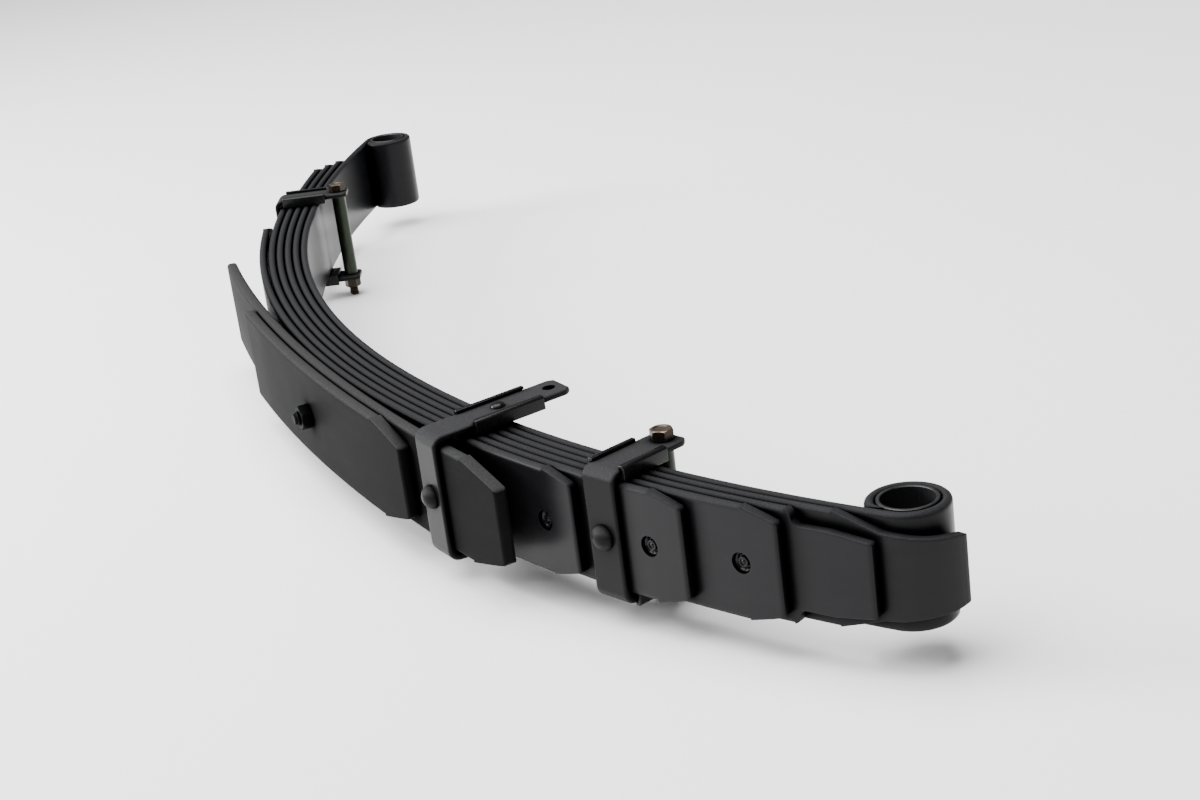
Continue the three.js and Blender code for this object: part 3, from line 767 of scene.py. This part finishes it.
def build_buttons():
    for level, ends in BUTTON_ENDS.items():
        for end in ends:
            side = "front" if end > 0 else "rear"
            node = f"leaf_{level}_{side}_button"
            radius = BUTTON_HOLE - GAP
            profile = [(0, 0.5 * MM), (radius, 0.5 * MM)]
            profile += arc_profile(radius - 0.5 * MM, 3.6 * MM, 0.5 * MM, 0, 90, 4)
            profile += [(radius - 0.8 * MM, 4.1 * MM), (3.9 * MM, 2.6 * MM), (3.5 * MM, 2.6 * MM)]
            profile += [(3.3 * MM, 3.9 * MM)]
            profile += arc_profile(2.9 * MM, 4.2 * MM, 0.4 * MM, 0, 90, 4)
            profile += [(2.3 * MM, 4.6 * MM), (2.1 * MM, 4.0 * MM)]
            profile += arc_profile(0.0, 2.9 * MM, 1.85 * MM, 35, 90, 6)[:-1]
            profile += [(0, 4.75 * MM)]
            place = leaf_frame(leaf_curve(level), button_station(end), (level - 1) * LEAF_PITCH)
            dress(lathe(node + "_piece", profile, place, 40), node, side, "black_plastic")


def build_bushes():
    for node, station, body in (("front_eye_bush", FRONT_EYE, "front"), ("rear_eye_bush", REAR_EYE, "rear")):
        ease = 0.4 * MM
        half = HALF_WIDTH
        profile = [
            (BUSH_BORE, -half + ease), (BUSH_BORE + ease, -half), (BUSH_OUTER - ease, -half),
            (BUSH_OUTER, -half + ease), (BUSH_OUTER, half - ease), (BUSH_OUTER - ease, half),
            (BUSH_BORE + ease, half), (BUSH_BORE, half - ease), (BUSH_BORE, -half + ease),
        ]
        place = upright_frame(PACK, station, -EYE_BORE)
        dress(lathe(node + "_piece", profile, place, 72, 30), node, body, "bush_steel")


def hex_radius(flats, turn):
    return flats / 2 / math.cos((turn + math.pi / 6) % (math.pi / 3) - math.pi / 6)


def hex_solid(name, flats, low, high, matrix, crown=(False, True), bore=0.0, dish=0.0):
    """A hexagon head or nut whose crowned ends are turned down to a 30 degree cone.
    bore opens a hole along it, and dish sinks the top face inside a rim."""
    sides = 72
    slope = math.tan(math.radians(28))
    inscribed = flats / 2 * 0.97
    rows = []
    for end, crowned in ((low, crown[0]), (high, crown[1])):
        inwards = 1 if end == low else -1
        rim = []
        face = []
        for i in range(sides):
            turn = 2 * math.pi * i / sides
            radius = hex_radius(flats, turn)
            drop = max(radius - inscribed, 0) * slope if crowned else 0.25 * MM
            rim.append((radius, end + inwards * drop))
            flat = inscribed if crowned else radius - 0.25 * MM
            face.append((min(flat, radius), end))
        rows.append((rim, face))
    rings = [rows[0][1], rows[0][0], rows[1][0], rows[1][1]]
    if bore:
        inner = [(bore, low + 0.5 * MM)] * sides
        outer = [(bore, high - 0.5 * MM)] * sides
        rings = [[(bore + 0.5 * MM, low)] * sides] + rings + [[(bore + 0.5 * MM, high)] * sides, outer, inner]
    elif dish:
        rim = flats / 2 * 0.74
        rings += [[(rim, high)] * sides, [(rim - dish, high - dish)] * sides]
    verts = []
    for ring in rings:
        for i, (radius, height) in enumerate(ring):
            turn = 2 * math.pi * i / sides
            verts.append(matrix @ Vector((radius * math.cos(turn), radius * math.sin(turn), height)))
    faces = tube_faces(len(rings), sides)
    if bore:
        faces = faces[:-2]
        last = (len(rings) - 1) * sides
        for i in range(sides):
            k = (i + 1) % sides
            faces.append((last + i, last + k, k, i))
    return mesh_object(name, verts, faces, 24)


def thread(radius, low, high, pitch=1.25 * MM):
    """Profile points of a thread drawn as rings, from low to high."""
    depth = 0.55 * pitch
    count = int((high - low) / pitch)
    points = []
    for i in range(count):
        base = low + i * pitch
        points += [(radius - depth, base), (radius, base + 0.4 * pitch), (radius, base + 0.6 * pitch)]
    points.append((radius - depth, low + count * pitch))
    return points


def build_centre_bolt():
    place = leaf_frame(PACK, 0.0, 0.0)
    under = -GAP
    top = -GAP - CENTRE_HEAD_HEIGHT
    tip = SEAT + GAP + CENTRE_NUT_HEIGHT + CENTRE_STUD
    profile = [(0, top)]
    profile += arc_profile(CENTRE_HEAD_RADIUS - 1.2 * MM, top + 1.2 * MM, 1.2 * MM, -90, 0)
    profile += [(CENTRE_HEAD_RADIUS, under), (CENTRE_BOLT, under), (CENTRE_BOLT, SEAT - 2 * MM)]
    profile += thread(CENTRE_BOLT, SEAT - 1.5 * MM, tip - 1.2 * MM, 1.5 * MM)
    profile += [(CENTRE_BOLT - 1.3 * MM, tip), (0, tip)]
    dress(lathe("centre_bolt_piece", profile, place), "centre_bolt", "centre", "fastener_paint")
    seat = leaf_frame(PACK, 0.0, SEAT + GAP)
    nut = hex_solid("centre_nut_piece", CENTRE_NUT_FLATS, 0, CENTRE_NUT_HEIGHT, seat,
                    (False, True), CENTRE_BOLT + 0.05 * MM)
    dress(nut, "centre_nut", "centre", "fastener_paint")


# ---- clips ----
Clip = namedtuple("Clip", "curve station face carrier splay end bolt liner button body")
PACK_CLIP_FACE = 4 * LEAF_PITCH + LEAF_THICKNESS


def short_clip(station, extra, body):
    """A clip on the fifth leaf; extra lengthens its ears where the pack is spread."""
    return Clip(leaf_curve(5), station, PACK_CLIP_FACE, LEAF_THICKNESS, 0.0, 59 * MM + extra,
                50 * MM + extra, (4 * MM, 39 * MM + extra), None, body)


CLIPS = {
    "front_clip": short_clip(FRONT_CLIP, 1 * MM, "front"),
    "rear_clip": short_clip(REAR_CLIP, 4 * MM, "rear"),
    "middle_clip": Clip(HELPERS, MIDDLE_CLIP, HELPER_THICKNESS, HELPER_THICKNESS, math.radians(2.9),
                        97.5 * MM, 88 * MM, (26.5 * MM, 76 * MM), 50.5 * MM, "centre"),
}


def ear_frame(clip, side):
    """The leaf frame swung with one ear of the clip: side is +1 for the upper ear."""
    bend = Matrix.Translation((0, side * (EAR_INNER - STRAP_BEND), GAP - STRAP_BEND))
    swing = Matrix.Rotation(side * clip.splay, 4, "X")
    return leaf_frame(clip.curve, clip.station, clip.face) @ bend @ swing @ bend.inverted()


def through_ear(clip, side, depth):
    """A frame at a depth along an ear, with its z axis pointing out through the ear."""
    turn = Matrix.Rotation(-side * math.pi / 2, 4, "X")
    return ear_frame(clip, side) @ Matrix.Translation((0, 0, -depth)) @ turn


def strap_sections(clip):
    """Sections from the end of the upper ear, round both bends, to the end of the lower ear."""
    frame_matrix = leaf_frame(clip.curve, clip.station, clip.face)
    turn_to_world = frame_matrix.to_3x3()
    corner = EAR_INNER - STRAP_BEND
    level = GAP - STRAP_BEND
    length = clip.end + level
    half = STRAP_WIDTH / 2
    ease = 0.8 * MM
    crop = 3.5 * MM

    def section(y, z, direction, half_width, inset=0.0):
        out = Vector((0, math.sin(direction), math.cos(direction)))
        inner = Vector((0, y, z)) + STRAP_BEND * out
        side = turn_to_world @ Vector((1, 0, 0))
        return Section(frame_matrix @ inner, turn_to_world @ out, side, half_width, inset,
                       STRAP_THICKNESS, STRAP_EDGE)

    def ear(side):
        normal = side * (math.pi / 2 - clip.splay)
        run = Vector((0, side * math.sin(clip.splay), -math.cos(clip.splay)))
        stops = [(0.0, 0.8 * MM, 2.8 * MM), (ease / 3, ease / 3, 2.6 * MM), (ease, 0.0, 2.2 * MM)]
        stops += [(crop, 0.0, 0.4 * MM), (crop + MM, 0.0, 0.0)]
        stops += [(length * i / 6, 0.0, 0.0) for i in range(1, 6) if length * i / 6 > 2 * crop]
        found = []
        for back, inset, narrowing in stops:
            base = Vector((0, side * corner, level)) + (length - back) * run
            found.append(section(base.y, base.z, normal, half - narrowing, inset))
        return found

    def bend(side):
        steps = 8
        first = side * (math.pi / 2 - clip.splay)
        return [section(side * corner, level, first * (1 - i / steps), half) for i in range(steps + 1)]

    return ear(1) + bend(1) + list(reversed(bend(-1))) + list(reversed(ear(-1)))


def build_strap(name, clip):
    strap = strip(name + "_strap_piece", strap_sections(clip))
    place = leaf_frame(clip.curve, clip.station, clip.face)
    drill(strap, RIVET_SHANK + GAP, -MM, STRAP_THICKNESS + 2 * MM, place)
    for side in (1, -1):
        drill(strap, CLIP_BOLT + GAP, 0, 60 * MM, through_ear(clip, side, clip.bolt))
        if clip.button:
            drill(strap, LINER_BUTTON + GAP, 0, 60 * MM, through_ear(clip, side, clip.button))
    dress(strap, name + "_strap", clip.body, "clip_paint")


def liner_outline():
    """Half of the channel's section, on the side of positive x: a floor under the ear,
    a wall beside it and a lip folded over it."""
    half = STRAP_WIDTH / 2 + GAP
    wall = half + LINER_WALL
    low = HALF_WIDTH + GAP
    floor = low + LINER_THICKNESS
    lip = EAR_OUTER + GAP
    top = lip + 2 * MM
    outside = [(wall, low), (wall, top - 1.2 * MM), (wall - 1.2 * MM, top)]
    inside = [(half - LINER_LIP, top), (half - LINER_LIP, lip), (half, lip), (half, floor)]
    return outside + inside


def build_liner(name, clip, side):
    right = liner_outline()
    outline = right + [(-x, y) for x, y in reversed(right)]
    ends = (-clip.liner[1], -clip.liner[0])
    place = ear_frame(clip, side)
    verts = [place @ Vector((x, side * y, z)) for z in ends for x, y in outline]
    node = f"{name}_{'upper' if side > 0 else 'lower'}_liner"
    channel = mesh_object(node + "_piece", verts, tube_faces(2, len(outline)), 35)
    soften(channel, 0.45 * MM, 3)
    if clip.button:
        floor = HALF_WIDTH + GAP + LINER_THICKNESS
        lip = EAR_OUTER + GAP
        profile = [(0, floor - MM), (LINER_BUTTON, floor - MM), (LINER_BUTTON, lip), (4.8 * MM, lip)]
        profile += [(4.6 * MM, lip + 0.7 * MM), (4.1 * MM, lip + 1.4 * MM), (3.2 * MM, lip + 2 * MM)]
        profile += [(1.8 * MM, lip + 2.35 * MM), (0, lip + 2.5 * MM)]
        stud = lathe("stud", profile, through_ear(clip, side, clip.button), 40)
        join(channel, stud)
    dress(channel, node, clip.body, "black_plastic")


def soften(obj, width, segments):
    modifier = obj.modifiers.new("soften", "BEVEL")
    modifier.width = width
    modifier.segments = segments
    modifier.limit_method = "ANGLE"
    modifier.angle_limit = math.radians(25)
    apply_modifiers(obj)


def join(obj, other):
    """Adds the other object's mesh to obj and removes it."""
    work = bmesh.new()
    work.from_mesh(obj.data)
    work.from_mesh(other.data)
    work.to_mesh(obj.data)
    work.free()
    bpy.data.objects.remove(other)


def build_rivet(name, clip):
    seat = GAP + STRAP_THICKNESS + GAP
    profile = [(0, 0.4 * MM - clip.carrier), (RIVET_SHANK, 0.4 * MM - clip.carrier), (RIVET_SHANK, seat)]
    for i in range(11):
        turn = i / 10 * math.pi / 2
        profile.append((RIVET_DOME * math.cos(turn), seat + RIVET_HEIGHT * math.sin(turn)))
    profile[-1] = (0, seat + RIVET_HEIGHT)
    place = leaf_frame(clip.curve, clip.station, clip.face)
    dress(lathe(name + "_rivet_piece", profile, place, 40), name + "_rivet", clip.body, "clip_paint")


def build_clip_bolt(name, clip):
    place = through_ear(clip, 1, clip.bolt)
    under = EAR_OUTER + GAP
    tip = -(under + CLIP_NUT_HEIGHT + CLIP_BOLT_STUD)
    head = hex_solid(name + "_bolt_piece", CLIP_BOLT_FLATS, under, under + CLIP_HEAD_HEIGHT, place,
                     (False, True), 0.0, 0.5 * MM)
    profile = [(0, tip), (CLIP_BOLT - 1.1 * MM, tip)]
    profile += thread(CLIP_BOLT, tip + MM, 2 * MM - under)
    profile += [(CLIP_BOLT, 3 * MM - under), (CLIP_BOLT, under + MM), (0, under + MM)]
    join(head, lathe("shank", profile, place, 40))
    dress(head, name + "_bolt", clip.body, "yellow_zinc")
    nut = hex_solid(name + "_nut_piece", CLIP_BOLT_FLATS, -under - CLIP_NUT_HEIGHT, -under, place,
                    (True, False), CLIP_BOLT + 0.05 * MM)
    dress(nut, name + "_nut", clip.body, "yellow_zinc")


def build_spacer(name, clip):
    high = EAR_INNER - GAP
    ease = 0.3 * MM
    inner = CLIP_BOLT + GAP
    profile = [
        (inner, -high), (SPACER_OUTER - ease, -high), (SPACER_OUTER, ease - high),
        (SPACER_OUTER, high - ease), (SPACER_OUTER - ease, high), (inner, high), (inner, -high),
    ]
    tube = lathe(name + "_spacer_piece", profile, through_ear(clip, 1, clip.bolt), 40)
    dress(tube, name + "_spacer", clip.body, "olive_zinc")


def build_clips():
    for name, clip in CLIPS.items():
        build_strap(name, clip)
        build_liner(name, clip, 1)
        build_liner(name, clip, -1)
        build_rivet(name, clip)
        if not clip.button:
            build_clip_bolt(name, clip)
            build_spacer(name, clip)


# ---- the studio ----
def build_floor():
    half = 10.0
    verts = [(-half, -half, 0), (half, -half, 0), (half, half, 0), (-half, half, 0)]
    floor = mesh_object("floor", verts, [(0, 1, 2, 3)])
    material, nodes, links = node_tree("floor")
    shader = nodes["Principled BSDF"]
    cloud = noise(nodes, links, 1.5, 2, 0.5)
    tone = ramp(nodes, links, cloud, [(0.3, (0.9, 0.9, 0.9)), (0.7, (0.92, 0.92, 0.92))])
    links.new(tone, shader.inputs["Base Color"])
    shader.inputs["Roughness"].default_value = 0.9
    shader.inputs["Specular IOR Level"].default_value = 0.2
    floor.data.materials.append(material)


def area_light(name, location, target, size, power):
    data = bpy.data.lights.new(name, "AREA")
    data.shape = "RECTANGLE"
    data.size, data.size_y = size
    data.energy = power
    light = bpy.data.objects.new(name, data)
    light.location = location
    direction = Vector(target) - Vector(location)
    light.rotation_euler = direction.to_track_quat("-Z", "Y").to_euler()
    bpy.context.scene.collection.objects.link(light)


def build_lights():
    world = bpy.data.worlds.new("studio")
    world.use_nodes = True
    background = world.node_tree.nodes["Background"]
    background.inputs["Color"].default_value = (1.0, 1.0, 1.0, 1.0)
    background.inputs["Strength"].default_value = 0.2
    bpy.context.scene.world = world
    area_light("overhead", (-0.1, -0.7, 3.3), (0.1, 0.2, 0), (4.0, 4.0), 440)
    area_light("key", (-1.1, -2.2, 1.0), (0.2, 0, 0.05), (1.2, 1.0), 140)


def build_camera():
    """Stands at the photograph's viewpoint: in front of the wrapper eye, a little to the
    convex side, and half a metre up."""
    data = bpy.data.cameras.new("camera")
    data.sensor_width = 36.0
    data.lens = 62.2
    data.clip_start = 0.05
    camera = bpy.data.objects.new("camera", data)
    camera.location = (1.5129, -0.3389, 0.5394)
    camera.rotation_euler = [math.radians(a) for a in (70.172, 7.103, 70.332)]
    bpy.context.scene.collection.objects.link(camera)
    bpy.context.scene.camera = camera


build_camera()
build_floor()
build_lights()
build_leaves()
build_buttons()
build_bushes()
build_centre_bolt()
build_clips()
